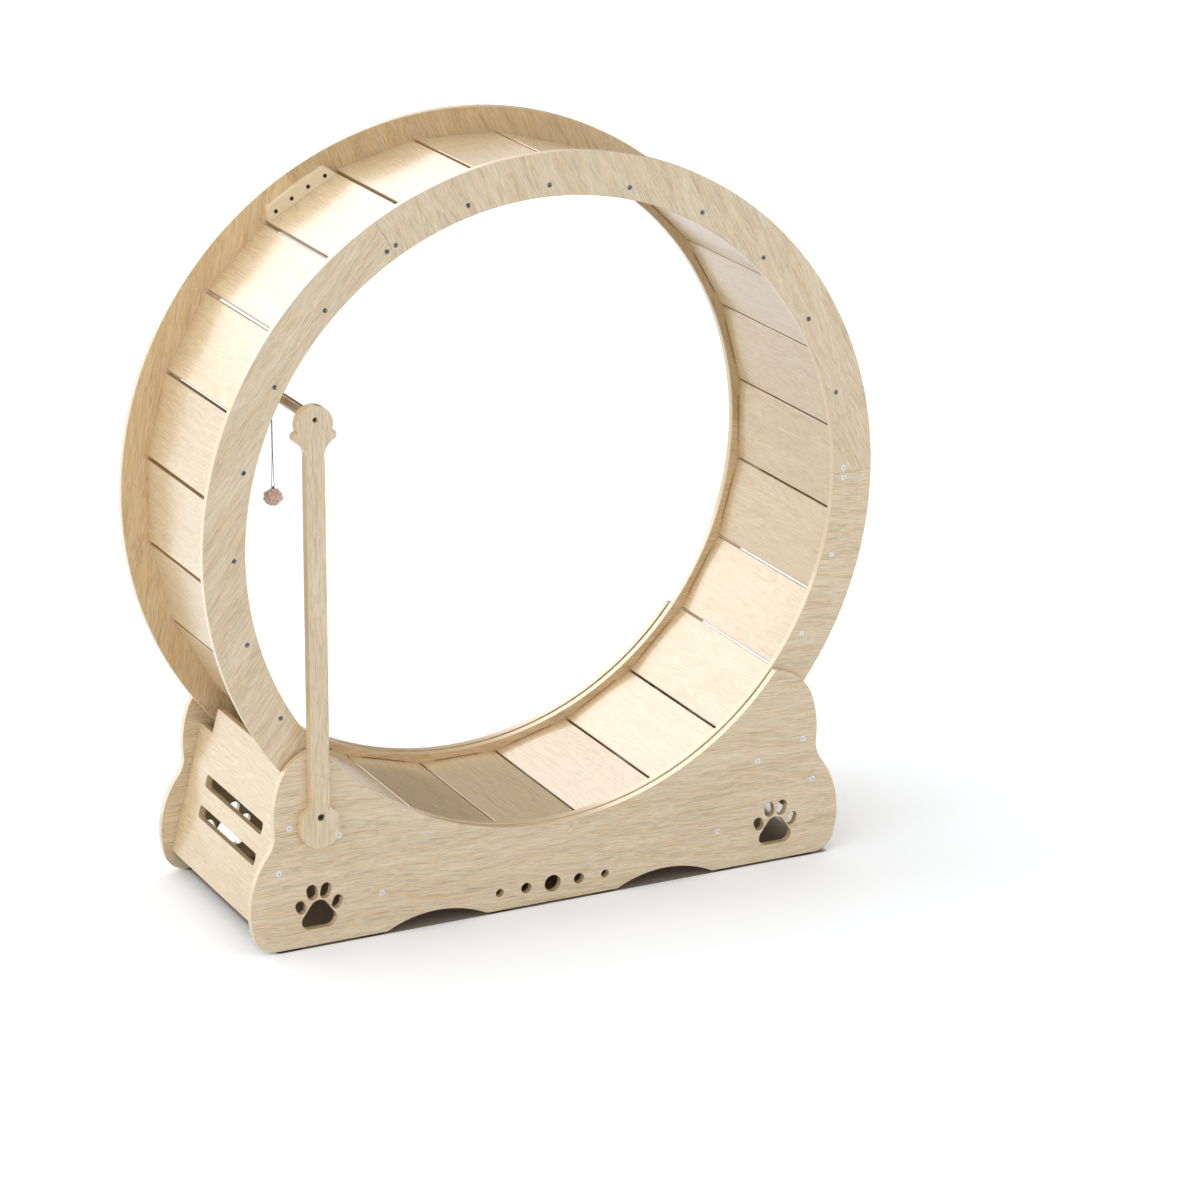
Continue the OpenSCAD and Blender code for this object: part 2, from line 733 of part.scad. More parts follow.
// The dowel lies inside the front ring, at its upper left. The post stands upright below
// it on the panel's left shoulder, and its outline counts from its lower bolt upwards.
dowel_r = ring_ri - dowel_inset;
post_x = dowel_r * cos(dowel_rise);
dowel_z = wheel_z + dowel_r * sin(dowel_rise);
post_z = pad_t + post_h;
post_l = dowel_z - post_z;
post_y = mid_y - base_w / 2 - post_t;
lug_c = [0, -lug_drop];
lug_side_c = [lug_side_x, -lug_side_drop];
lug_reach = lug_side_r + lug_fillet_r;
lug_fillet_x = post_w / 2 + lug_fillet_r;
lug_fillet_rise = sqrt(pow(lug_reach, 2) - pow(lug_fillet_x - lug_side_x, 2));
lug_fillet_c = [lug_fillet_x, lug_fillet_rise - lug_side_drop];
lug_cut = meet(lug_c, lug_r, lug_side_c, lug_side_r, 1);
head_c = [0, post_l - head_drop];
cheek_c = [cheek_span / 2 - cheek_r, post_l - cheek_drop];
head_cut = meet(head_c, head_r, cheek_c, cheek_r, -1);
neck_x = neck_w / 2 + neck_r;
neck_rise = sqrt(pow(neck_r + cheek_r, 2) - pow(neck_x - cheek_c[0], 2));
neck_c = [neck_x, cheek_c[1] - neck_rise];

function post_outline() = both_sides(concat(
    arc(lug_c, lug_r, -90, angle_to(lug_c, lug_cut)),
    arc(lug_side_c, lug_side_r, angle_to(lug_side_c, lug_cut),
        angle_to(lug_side_c, lug_fillet_c)),
    arc(lug_fillet_c, lug_fillet_r, turn_to(lug_fillet_c, lug_side_c), 180),
    [[post_w / 2, lug_fillet_c[1]], [post_w / 2, neck_c[1] - neck_taper_l]],
    arc(neck_c, neck_r, 180, angle_to(neck_c, cheek_c)),
    arc(cheek_c, cheek_r, angle_to(cheek_c, neck_c), angle_to(cheek_c, head_cut)),
    arc(head_c, head_r, angle_to(head_c, head_cut), 90),
    [[0, head_c[1] + head_r]]
));

// The bolt goes through the post and the panel, and the screw into the end of the dowel
bolt_l = post_t - sink_depth + panel_t;
bolt_hole_r = bolt_d / 2 + fit;
insert_r = bolt_d / 2 + insert_wall;
insert_flange_r = insert_r + insert_wall;

module post_bolt_hole() {
    y = post_y + post_t;
    along_y(-post_x, y - over, post_z, 1) cylinder(r = insert_r + fit, h = panel_t + 2 * over);
    along_y(-post_x, y + panel_t + over, post_z, -1)
        cylinder(r = insert_flange_r + fit, h = insert_flange_t + over + fit);
}

module toy_post() {
    color("burlywood")
    difference() {
        board(post_y, post_t) translate([-post_x, post_z]) polygon(post_outline());
        along_y(-post_x, post_y - over, post_z, 1) cylinder(d = post_sink_d, h = sink_depth + over);
        along_y(-post_x, post_y, post_z, 1) cylinder(r = bolt_hole_r, h = post_t + over);
        along_y(-post_x, post_y - over, dowel_z, 1) cylinder(d = head_sink_d, h = sink_depth + over);
        along_y(-post_x, post_y, dowel_z, 1)
            cylinder(r = dowel_screw_d / 2 + fit, h = post_t + over);
    }
}

module toy_dowel() {
    y = post_y + post_t;
    screw_l = dowel_screw_l - (post_t - sink_depth);
    color("tan")
    difference() {
        along_y(-post_x, y, dowel_z, 1) cylinder(d = dowel_d, h = dowel_l);
        translate([-post_x - dowel_slot_w / 2, y - over, dowel_z + dowel_d / 2 - dowel_slot_d])
            cube([dowel_slot_w, dowel_l + 2 * over, dowel_slot_d + over]);
        along_y(-post_x, y - over, dowel_z, 1)
            cylinder(r = dowel_screw_d / 2 + fit, h = screw_l + over + fit);
    }
}

// A bolt with a hexagon socket, its flanged insert in the panel, and the dowel's pan screw
module post_fasteners() {
    head_t = bolt_d * bolt_head_share;
    seat_y = post_y + sink_depth;
    color("dimgray") {
        along_y(-post_x, seat_y, post_z, 1) cylinder(d = bolt_d, h = bolt_l);
        along_y(-post_x, seat_y, post_z, -1) difference() {
            cylinder(d = post_sink_d - 2 * fit, h = head_t);
            translate([0, 0, head_t / 2]) cylinder(d = bolt_d * socket_share, h = head_t, $fn = 6);
        }
        along_y(-post_x, seat_y, dowel_z, 1) cylinder(d = dowel_screw_d, h = dowel_screw_l);
        along_y(-post_x, seat_y, dowel_z, -1) difference() {
            cylinder(d = head_sink_d - 2 * fit, h = dowel_screw_d * pan_share);
            translate([0, 0, dowel_screw_d * pan_share / 2])
                cylinder(d = dowel_screw_d * socket_share, h = head_t, $fn = 6);
        }
    }
    color("gold")
    along_y(-post_x, post_y + post_t + panel_t, post_z, -1) difference() {
        union() {
            cylinder(r = insert_r, h = panel_t);
            cylinder(r = insert_flange_r, h = insert_flange_t);
        }
        translate([0, 0, -over]) cylinder(r = bolt_hole_r, h = panel_t + 2 * over);
    }
}

// The cord's loop lies round the dowel, with play, and the cord hangs from it
toy_place_y = mid_y - wheel_depth / 2 + toy_y;
loop_r = dowel_d / 2 + play + cord_d / 2;
module toy_loop() {
    color("gray")
    along_y(-post_x, toy_place_y, dowel_z, 1)
        rotate_extrude() translate([loop_r, 0]) circle(d = cord_d);
}

// The cord's route down from the dowel's axis, chosen by hand: it ends in the ball's top
cord_route = [[0, 0, -11.1], [0, 0, -35], [0, 0, -60], [0, 0, -85], [0, 0, -110], [0, 0, -146]];
cord_sides = 8;
cord_step = 6;

// Points along the route, one at least every cord_step
function cord_points() = concat(
    [for (i = [0:len(cord_route) - 2])
        let (
            a = cord_route[i],
            b = cord_route[i + 1],
            n = ceil(norm(b - a) / cord_step)
        )
        for (k = [0:n - 1]) a + (b - a) * k / n],
    [cord_route[len(cord_route) - 1]]
);

// A tube swept along points that lead downwards
module tube(points, d, sides) {
    n = len(points);
    rings = [for (p = points, k = [0:sides - 1])
        p + d / 2 * [cos(k * 360 / sides), sin(k * 360 / sides), 0]];
    walls = [for (i = [0:n - 2], k = [0:sides - 1])
        let (a = i * sides + k, b = i * sides + (k + 1) % sides) [a, b, b + sides, a + sides]];
    top = [for (k = [sides - 1:-1:0]) k];
    bottom = [for (k = [0:sides - 1]) (n - 1) * sides + k];
    polyhedron(rings, concat([top], walls, [bottom]));
}

module toy_cord() {
    color("gray")
    translate([-post_x, toy_place_y, dowel_z]) tube(cord_points(), cord_d, cord_sides);
}

// The ball is flat where the cord ends in its top
module toy_ball() {
    cord_end = cord_route[len(cord_route) - 1][2];
    color("pink")
    translate([-post_x, toy_place_y, dowel_z]) difference() {
        translate([0, 0, -ball_drop]) sphere(d = ball_d);
        translate([-ball_d / 2, -ball_d / 2, cord_end]) cube([ball_d, ball_d, ball_d]);
    }
}

ring_segment(0, -1);  // front_ring_segment_1
ring_segment(1, -1);  // front_ring_segment_2
ring_segment(2, -1);  // front_ring_segment_3
ring_segment(0, 1);  // back_ring_segment_1
ring_segment(1, 1);  // back_ring_segment_2
ring_segment(2, 1);  // back_ring_segment_3
slat(0);  // slat_01
slat(1);  // slat_02
slat(2);  // slat_03
slat(3);  // slat_04
slat(4);  // slat_05
slat(5);  // slat_06
slat(6);  // slat_07
slat(7);  // slat_08
slat(8);  // slat_09
slat(9);  // slat_10
slat(10);  // slat_11
slat(11);  // slat_12
slat(12);  // slat_13
slat(13);  // slat_14
slat(14);  // slat_15
slat(15);  // slat_16
slat(16);  // slat_17
slat(17);  // slat_18
slat(18);  // slat_19
slat(19);  // slat_20
slat(20);  // slat_21
slat(21);  // slat_22
slat(22);  // slat_23
slat(23);  // slat_24
splice_plates(-1);  // front_splice_plates
splice_plates(1);  // back_splice_plates
slat_screws();
splice_screws();
side_panel(-1);  // front_side_panel
side_panel(1);  // back_side_panel
end_panel(-1);  // left_end_panel
end_panel(1);  // right_end_panel
cross_rod(-1);  // left_cross_rod
cross_rod(1);  // right_cross_rod
roller_shaft(-1);  // left_roller_shaft
roller_shaft(1);  // right_roller_shaft
roller_spacers();
base_screws();
foot_pads();
roller(-1, -1);  // front_left_roller
roller(1, -1);  // front_right_roller
roller(-1, 1);  // back_left_roller
roller(1, 1);  // back_right_roller
bearings(-1, -1);  // front_left_bearings
bearings(1, -1);  // front_right_bearings
bearings(-1, 1);  // back_left_bearings
bearings(1, 1);  // back_right_bearings
toy_post();
toy_dowel();
post_fasteners();
toy_loop();
toy_cord();
toy_ball();
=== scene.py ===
import math
import random

import bmesh
import bpy
from mathutils import Matrix, Vector, noise


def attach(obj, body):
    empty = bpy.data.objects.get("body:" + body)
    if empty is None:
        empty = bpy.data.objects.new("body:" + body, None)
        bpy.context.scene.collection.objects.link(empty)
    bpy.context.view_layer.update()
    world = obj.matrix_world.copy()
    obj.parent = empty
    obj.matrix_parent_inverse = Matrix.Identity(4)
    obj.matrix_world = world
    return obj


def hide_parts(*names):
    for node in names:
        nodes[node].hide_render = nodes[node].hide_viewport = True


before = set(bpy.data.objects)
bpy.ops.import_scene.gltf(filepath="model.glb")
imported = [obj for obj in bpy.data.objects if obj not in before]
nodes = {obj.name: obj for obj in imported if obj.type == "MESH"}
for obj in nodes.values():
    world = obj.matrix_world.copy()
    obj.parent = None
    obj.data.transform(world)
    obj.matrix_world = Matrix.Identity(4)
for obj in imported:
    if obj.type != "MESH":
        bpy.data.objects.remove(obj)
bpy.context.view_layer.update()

for loaded in nodes.values():
    loaded.select_set(False)


# The camera stands at the left front with a long lens, and looks a little down into the
# wheel. Its place, turn and lens were fitted to the rings, the screws and the base.
view_turn, view_lift, view_roll = (math.radians(a) for a in (-26.69, 18.86, 0.36))
view_distance, view_aim = 6.5657, Vector((0.0856, -0.161, 0.4694))
film_width, lens_length = 36, 131.228
view_back = Vector((
    math.sin(view_turn) * math.cos(view_lift),
    -math.cos(view_turn) * math.cos(view_lift),
    math.sin(view_lift),
))
level = Vector((math.cos(view_turn), math.sin(view_turn), 0))
upright = view_back.cross(level)
view_right = level * math.cos(view_roll) + upright * math.sin(view_roll)
view_up = upright * math.cos(view_roll) - level * math.sin(view_roll)
camera_data = bpy.data.cameras.new("studio_camera")
camera_data.sensor_width, camera_data.lens = film_width, lens_length
camera_data.clip_start, camera_data.clip_end = 0.1, 60
camera = bpy.data.objects.new("studio_camera", camera_data)
camera.matrix_world = Matrix((view_right, view_up, view_back)).transposed().to_4x4()
camera.location = view_aim + view_back * view_distance
bpy.context.collection.objects.link(camera)
bpy.context.scene.camera = camera


# The toy's cord is one length of thin grey cotton cord, doubled: its two strands are
# twisted together below the dowel and part a little before they go into the ball.
def linear(hex_colour):
    """An sRGB hex colour as the linear colour that a shader takes."""
    shares = (int(hex_colour[i:i + 2], 16) / 255 for i in (0, 2, 4))
    rgb = [c / 12.92 if c < 0.04045 else ((c + 0.055) / 1.055) ** 2.4 for c in shares]
    return (*rgb, 1)


def add(tree, kind, inputs=None, **settings):
    """Adds a shader node with its settings. A value in inputs is a number, a colour or
    the output of another node."""
    made = tree.nodes.new(kind)
    for name, value in settings.items():
        setattr(made, name, value)
    for socket, value in (inputs or {}).items():
        if isinstance(value, bpy.types.NodeSocket):
            tree.links.new(value, made.inputs[socket])
        else:
            made.inputs[socket].default_value = value
    return made


def fill_ramp(ramp, stops):
    """Gives a colour ramp its stops: pairs of a place and a hex colour."""
    band = ramp.color_ramp
    while len(band.elements) < len(stops):
        band.elements.new(0.5)
    for element, (place, hex_colour) in zip(band.elements, stops):
        element.position, element.color = place, linear(hex_colour)
    return ramp.outputs[0]


def new_material(name):
    """An empty material with a Principled shader, its node tree and that shader."""
    material = bpy.data.materials.new(name)
    material.use_nodes = True
    tree = material.node_tree
    tree.nodes.clear()
    shader = add(tree, "ShaderNodeBsdfPrincipled")
    add(tree, "ShaderNodeOutputMaterial", {"Surface": shader.outputs[0]})
    return material, tree, shader


def dress(piece, material):
    """Puts one material on every slot of a piece."""
    if not piece.material_slots:
        piece.data.materials.append(material)
    for place in piece.material_slots:
        place.material = material


def only(piece):
    """Makes this piece the only selected and the active object."""
    bpy.ops.object.select_all(action="DESELECT")
    piece.select_set(True)
    bpy.context.view_layer.objects.active = piece


def strand(points, radius, closed=False):
    """One strand of cord along a row of points, as a mesh."""
    data = bpy.data.curves.new("strand", "CURVE")
    data.dimensions = "3D"
    data.bevel_depth, data.bevel_resolution = radius, 2
    data.use_fill_caps = not closed
    line = data.splines.new("POLY")
    line.points.add(len(points) - 1)
    for point, place in zip(line.points, points):
        point.co = (*place, 1)
    line.use_cyclic_u = closed
    made = bpy.data.objects.new("strand", data)
    bpy.context.collection.objects.link(made)
    only(made)
    bpy.ops.object.convert(target="MESH")
    bpy.ops.object.shade_smooth()
    return bpy.context.object


def joined(name, parts):
    """Several meshes joined into one piece."""
    bpy.ops.object.select_all(action="DESELECT")
    for part in parts:
        part.select_set(True)
    bpy.context.view_layer.objects.active = parts[0]
    bpy.ops.object.join()
    piece = bpy.context.object
    piece.name = name
    return piece


dowel_x, toy_y, dowel_z = -0.38735, -0.033, 0.82029
cord_top, cord_end = dowel_z - 0.0111, dowel_z - 0.146
cord_length, cord_diameter = cord_top - cord_end, 0.002
strand_r, parted = 0.00055, 0.0021
twist_share, half_twists, parting_curve = 0.62, 26, 1.3
path_steps, strand_steps = 28, 360
cord_strands = []
for way in (-1, 1):
    places = []
    for i in range(strand_steps + 1):
        share = i / strand_steps
        turned = min(share / twist_share, 1) * half_twists * math.pi
        open_share = max(0, (share - twist_share) / (1 - twist_share))
        gap = strand_r + (parted - strand_r) * open_share ** parting_curve
        places.append((
            dowel_x + way * gap * math.cos(turned),
            toy_y + way * gap * math.sin(turned),
            cord_top - cord_length * share,
        ))
    cord_strands.append(strand(places, strand_r))
cord_piece = joined("hanging_cord", cord_strands)

# Twisted cotton: matt and fibrous, mid grey, with painted shade, a darker grey, in the
# hollows between its yarns, which come round every 1.5 mm
cotton, tree, shader = new_material("twisted_cotton_cord")
spot = add(tree, "ShaderNodeTexCoord").outputs["Object"]
yarn = add(tree, "ShaderNodeTexWave", {"Vector": spot, "Scale": 420, "Distortion": 3,
           "Detail": 2, "Detail Scale": 3}, bands_direction="DIAGONAL")
cord_tone = fill_ramp(add(tree, "ShaderNodeValToRGB", {"Fac": yarn.outputs["Fac"]}),
                      [(0.1, "3f3f41"), (0.55, "67676a"), (0.95, "8b8a8c")])
tree.links.new(cord_tone, shader.inputs["Base Color"])
cord_bump = add(tree, "ShaderNodeBump", {"Height": yarn.outputs["Fac"], "Strength": 0.6,
                "Distance": 0.0002})
tree.links.new(cord_bump.outputs[0], shader.inputs["Normal"])
shader.inputs["Roughness"].default_value = 0.85
shader.inputs["Sheen Weight"].default_value = 0.25
dress(cord_piece, cotton)
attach(cord_piece, "toy")
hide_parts("toy_cord")


# The cord's top is a loop of both strands round the dowel, closed under it by a short
# whipping of the same cord, so that it can turn and slide but not come off.
loop_r, loop_steps = 0.0098, 72
whipping_r, whipping_turns, whipping_steps = 0.0013, 4, 60
whipping_drop, whipping_length = 0.0094, 0.0038
loop_parts = []
for way in (-1, 1):
    circle = []
    for i in range(loop_steps):
        a = math.tau * i / loop_steps
        circle.append((
            dowel_x + loop_r * math.sin(a),
            toy_y + way * strand_r * 1.1,
            dowel_z + loop_r * math.cos(a),
        ))
    loop_parts.append(strand(circle, strand_r, closed=True))
whipping = []
for i in range(whipping_steps + 1):
    a = math.tau * whipping_turns * i / whipping_steps
    whipping.append((
        dowel_x + whipping_r * math.cos(a),
        toy_y + whipping_r * math.sin(a),
        dowel_z - whipping_drop - whipping_length * i / whipping_steps,
    ))
loop_parts.append(strand(whipping, strand_r))
loop_piece = joined("cord_loop", loop_parts)
dress(loop_piece, cotton)
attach(loop_piece, "toy_hanger")
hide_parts("toy_loop")


# The ball is a pompom of pink chenille yarn, 31 mm wide and a little flattened: some 170
# short cut tufts stand out all round from a tied core, and a grey knot of the cord sits
# in its top.
random.seed(11)
ball_centre = Vector((dowel_x, toy_y, dowel_z - 0.161))
core_r, lump_size, lump_height = 0.0116, 0.006, 0.002
bpy.ops.mesh.primitive_ico_sphere_add(subdivisions=5, radius=core_r, location=ball_centre)
core = bpy.context.object
bpy.ops.object.transform_apply(location=True)
lumps = bpy.data.textures.new("pompom_lumps", "CLOUDS")
lumps.noise_scale = lump_size
swell = core.modifiers.new("lumps", "DISPLACE")
swell.texture, swell.strength, swell.mid_level = lumps, lump_height, 0.5
bpy.ops.object.modifier_apply(modifier="lumps")
bpy.ops.object.shade_smooth()
# The tufts are spread evenly over the core. Each leans and droops a little, and they are
# longer on some sides of the ball than on others.
tufts = []
tuft_count, golden = 170, math.pi * (3 - math.sqrt(5))
root_r, shortest, longest, unevenness, leaning = 0.0106, 0.0024, 0.0042, 0.0022, 0.35
for i in range(tuft_count):
    high = 1 - 2 * (i + 0.5) / tuft_count
    a = golden * i + random.uniform(-0.2, 0.2)
    flat = math.sqrt(1 - high * high)
    out = Vector((flat * math.cos(a), flat * math.sin(a), high))
    droop = Vector((random.uniform(-1, 1), random.uniform(-1, 1), random.uniform(-1, 0.6)))
    lean = (droop - out * droop.dot(out)) * leaning
    reach = random.uniform(shortest, longest) + unevenness * noise.noise(out * 2.4)
    tufts.append((out, lean, reach))
# A tuft is a five-sided bud, widest at the middle of its length and closed at the tip
tuft_profile, tuft_sides = ((0, 0.0016), (0.5, 0.0021), (0.88, 0.0014)), 5
verts, faces = [], []
for out, lean, reach in tufts:
    across = out.orthogonal().normalized()
    other = out.cross(across)
    start = len(verts)
    for step, (share, width) in enumerate(tuft_profile):
        middle = ball_centre + out * (root_r + reach * share) + lean * reach * share * share
        for k in range(tuft_sides):
            t = math.tau * k / tuft_sides + 0.4 * step
            verts.append(middle + (across * math.cos(t) + other * math.sin(t)) * width)
    verts.append(ball_centre + out * (root_r + reach) + lean * reach)
    for k in range(tuft_sides):
        beside = (k + 1) % tuft_sides
        for lower in (start, start + tuft_sides):
            upper = lower + tuft_sides
            faces.append((lower + k, lower + beside, upper + beside, upper + k))
        faces.append((upper + k, upper + beside, upper + tuft_sides))
    faces.append(tuple(start + tuft_sides - 1 - k for k in range(tuft_sides)))
tuft_mesh = bpy.data.meshes.new("tufts")
tuft_mesh.from_pydata([tuple(v) for v in verts], [], faces)
tuft_piece = bpy.data.objects.new("tufts", tuft_mesh)
bpy.context.collection.objects.link(tuft_piece)
only(tuft_piece)
bpy.ops.object.shade_smooth()
pompom = joined("pink_pompom_ball", [core, tuft_piece])
bpy.ops.object.mode_set(mode="EDIT")
bpy.ops.mesh.select_all(action="SELECT")
flattened = (1.05, 1.05, 0.9)
bpy.ops.transform.resize(value=flattened, center_override=ball_centre)
bpy.ops.object.mode_set(mode="OBJECT")

# Chenille: soft, matt and fluffy, with painted shade by depth: deeper pink between the
# tufts near the core, paling to near white at the tips
chenille, tree, shader = new_material("pink_chenille_yarn")
spot = add(tree, "ShaderNodeTexCoord").outputs["Object"]
centred = add(tree, "ShaderNodeMapping", {"Vector": spot, "Location": tuple(-ball_centre)})
depth = add(tree, "ShaderNodeVectorMath", {0: centred.outputs[0]}, operation="LENGTH")
tip = add(tree, "ShaderNodeMapRange", {"Value": depth.outputs["Value"],
          "From Min": 0.0108, "From Max": 0.0142})
fluff = add(tree, "ShaderNodeTexNoise", {"Vector": spot, "Scale": 260, "Detail": 3})
tone = add(tree, "ShaderNodeMath", {0: tip.outputs[0], 1: fluff.outputs["Fac"], 2: 0.22},
           operation="MULTIPLY_ADD")
pink = fill_ramp(add(tree, "ShaderNodeValToRGB", {"Fac": tone.outputs[0]}),
                 [(0.0, "f9bbae"), (0.3, "ffd5cb"), (0.62, "ffe8e2"), (1.0, "fff9f7")])
tree.links.new(pink, shader.inputs["Base Color"])
shader.inputs["Roughness"].default_value = 0.95
shader.inputs["Sheen Weight"].default_value = 0.6
dress(pompom, chenille)
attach(pompom, "toy")
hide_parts("toy_ball")

knot_r, knot_height, knot_sunk = 0.002, 0.0013, 0.0004
knot_turns, knot_steps = 3, 48
knot_turn = []
for i in range(knot_steps + 1):
    a = math.tau * knot_turns * i / knot_steps
    knot_turn.append((
        dowel_x + knot_r * math.cos(a),
        toy_y + knot_r * math.sin(a) * math.cos(a / knot_turns),
        cord_end - knot_sunk + knot_height * math.sin(a / knot_turns),
    ))
ball_knot = strand(knot_turn, strand_r)
ball_knot.name = "cord_knot"
dress(ball_knot, cotton)
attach(ball_knot, "toy")


# The two rings are plywood with an oak veneer, each cut as three curved boards that are
# butted end to end. Every board keeps its own straight grain, so its angle changes at
# each seam, and the bare edges show the paler layers inside.
warm_oak = [(0.3, "c7a271"), (0.42, "dcc093"), (0.5, "e6cda6"), (0.6, "edd8b5"),
            (0.72, "f4e3c9")]
cool_oak = [(0.3, "b19e83"), (0.42, "cbb99c"), (0.5, "dcccaf"), (0.6, "e5d8bf"),
            (0.72, "eee4d2")]
# The back ring has warmer, darker tones as painted shade, and its upper board darker tones
# still, painted shade for the top of the ring
warm_back_shade = [(0.3, "cb9e67"), (0.42, "e0bb86"), (0.5, "eac897"), (0.6, "f2d3a5"),
             (0.72, "f8deb7")]
cool_back_shade = [(0.3, "b49a77"), (0.42, "cfb58e"), (0.5, "e0c7a0"), (0.6, "e9d3af"),
             (0.72, "f3dfc0")]
warm_top_shade = [(0.3, "b88e59"), (0.42, "cba875"), (0.5, "d4b484"), (0.6, "dbbe90"),
            (0.72, "e1c8a0")]
cool_top_shade = [(0.3, "a38a67"), (0.42, "bba37c"), (0.5, "cbb38b"), (0.6, "d3be99"),
            (0.72, "dcc9a8")]


def oak_veneer(name, turn, centre, warm, cool, figure=0.05, length=0.05,
               width=0.0016, lines=16.0, pores=0.92):
    """Oak-faced plywood, sanded and varnished to a satin: fine wavy streaks, some tan and
    some grey, with short dark pores. turn sets the grain, which runs along the local X
    axis, and centre is a point that the grain is measured from. The streaks are length
    long and width wide. figure is how dark the growth rings are, lines how close they
    lie, and pores how pale the pores stay."""
    material, tree, shader = new_material(name)
    coordinates = add(tree, "ShaderNodeTexCoord")
    grain = add(tree, "ShaderNodeMapping", {"Vector": coordinates.outputs["Object"],
                "Location": centre, "Rotation": turn}, vector_type="TEXTURE")
    # The fibres bend by 3 mm over 110 mm, and ripple by less than 1 mm over 25 mm
    bends = add(tree, "ShaderNodeTexNoise", {"Vector": grain.outputs[0], "Scale": 9,
                "Detail": 3, "Roughness": 0.5})
    shifted = add(tree, "ShaderNodeVectorMath", {0: bends.outputs["Color"],
                  1: (0.5, 0.5, 0.5)}, operation="SUBTRACT")
    moved = add(tree, "ShaderNodeVectorMath", {0: shifted.outputs[0],
                1: (0, 0.016, 0.016), 2: grain.outputs[0]}, operation="MULTIPLY_ADD")

    def layer(long, wide, detail, start, roughness=0.55):
        """Noise drawn out along the grain: its marks are long by wide, in metres."""
        drawn = add(tree, "ShaderNodeMapping", {"Vector": moved.outputs[0],
                    "Location": (start, start, start),
                    "Scale": (1 / long, 1 / wide, 1 / wide)})
        return add(tree, "ShaderNodeTexNoise", {"Vector": drawn.outputs[0], "Scale": 1,
                   "Detail": detail, "Roughness": roughness}).outputs["Fac"]

    # Streaks, with finer ones in them, over slow broad bands that are 17 mm wide
    streaks = layer(length, width, 3, 0.0, 0.6)
    bands = layer(0.26, 0.017, 2, 7.3)
    mixed = add(tree, "ShaderNodeMath", {0: bands, 1: 0.35, 2: streaks},
                operation="MULTIPLY_ADD")
    tone = add(tree, "ShaderNodeMath", {0: mixed.outputs[0], 1: 1 / 1.35},
               operation="MULTIPLY")
    tan = fill_ramp(add(tree, "ShaderNodeValToRGB", {"Fac": tone.outputs[0]}), warm)
    grey = fill_ramp(add(tree, "ShaderNodeValToRGB", {"Fac": tone.outputs[0]}), cool)
    hue = add(tree, "ShaderNodeMapRange", {"Value": layer(0.06, 0.0036, 2, 3.1),
              "From Min": 0.36, "From Max": 0.7})
    wood = add(tree, "ShaderNodeMix", {"Factor": hue.outputs[0], "A": tan, "B": grey},
               data_type="RGBA")
    # Growth rings: faint contour lines of a slow noise, some 12 mm apart, or 8 mm on slats
    slow = add(tree, "ShaderNodeMath", {0: layer(0.2, 0.04, 0, 5.2), 1: lines},
               operation="MULTIPLY")
    waves = add(tree, "ShaderNodeMath", {0: slow.outputs[0], 1: 1.0}, operation="PINGPONG")
    rings = add(tree, "ShaderNodeMapRange", {"Value": waves.outputs[0],
                "From Max": 0.5, "To Min": 1 - figure, "To Max": 1.0})
    # Pores: open vessels of the wood, drawn 1 mm wide where the real ones are 0.2 mm
    pits = add(tree, "ShaderNodeMapRange", {"Value": layer(0.012, 0.0011, 1, 11.7),
               "From Min": 0.3, "From Max": 0.4, "To Min": pores, "To Max": 1.0})
    marks = add(tree, "ShaderNodeMath", {0: rings.outputs[0], 1: pits.outputs[0]},
                operation="MULTIPLY")
    face = add(tree, "ShaderNodeMix", {"A": wood.outputs[2], "B": marks.outputs[0]},
               data_type="RGBA", blend_type="MULTIPLY")
    face.inputs[0].default_value = 1.0
    relief = add(tree, "ShaderNodeBump", {"Height": tone.outputs[0], "Strength": 0.2,
                 "Distance": 0.0003})
    tree.links.new(relief.outputs[0], shader.inputs["Normal"])
    satin = add(tree, "ShaderNodeMapRange", {"Value": tone.outputs[0], "To Min": 0.5,
                "To Max": 0.38})
    tree.links.new(satin.outputs[0], shader.inputs["Roughness"])
    shader.inputs["IOR"].default_value = 1.5
    shader.inputs["Coat Weight"].default_value = 1.0
    shader.inputs["Coat IOR"].default_value = 1.7
    shader.inputs["Coat Roughness"].default_value = 0.22
    tree.links.new(face.outputs[2], shader.inputs["Base Color"])
    return material


def show_plies(wood, thick_axis, thick_start, thickness, plies):
    """Gives a board's edges the colours of the layers that it is glued up from."""
    tree = wood.node_tree
    coordinates = tree.nodes["Texture Coordinate"]
    shader = tree.nodes["Principled BSDF"]
    face = shader.inputs["Base Color"].links[0].from_socket
    facing = add(tree, "ShaderNodeVectorMath", {0: coordinates.outputs["Normal"],
                 1: thick_axis}, operation="DOT_PRODUCT")
    turned = add(tree, "ShaderNodeMath", {0: facing.outputs["Value"]},
                 operation="ABSOLUTE")
    edge = add(tree, "ShaderNodeMapRange", {"Value": turned.outputs[0],
               "From Min": 0.9, "From Max": 0.6})
    depth = add(tree, "ShaderNodeVectorMath", {0: coordinates.outputs["Object"],
                1: thick_axis}, operation="DOT_PRODUCT")
    across = add(tree, "ShaderNodeMapRange", {"Value": depth.outputs["Value"],
                 "From Min": thick_start, "From Max": thick_start + thickness})
    ragged = add(tree, "ShaderNodeTexNoise", {"Vector": coordinates.outputs["Object"],
                 "Scale": 160, "Detail": 2})
    wavered = add(tree, "ShaderNodeMath", {0: ragged.outputs["Fac"], 1: 0.06,
                  2: across.outputs[0]}, operation="MULTIPLY_ADD")
    layers = fill_ramp(add(tree, "ShaderNodeValToRGB", {"Fac": wavered.outputs[0]}), plies)
    both = add(tree, "ShaderNodeMix", {"Factor": edge.outputs[0], "A": face, "B": layers},
               data_type="RGBA")
    tree.links.new(both.outputs[2], shader.inputs["Base Color"])


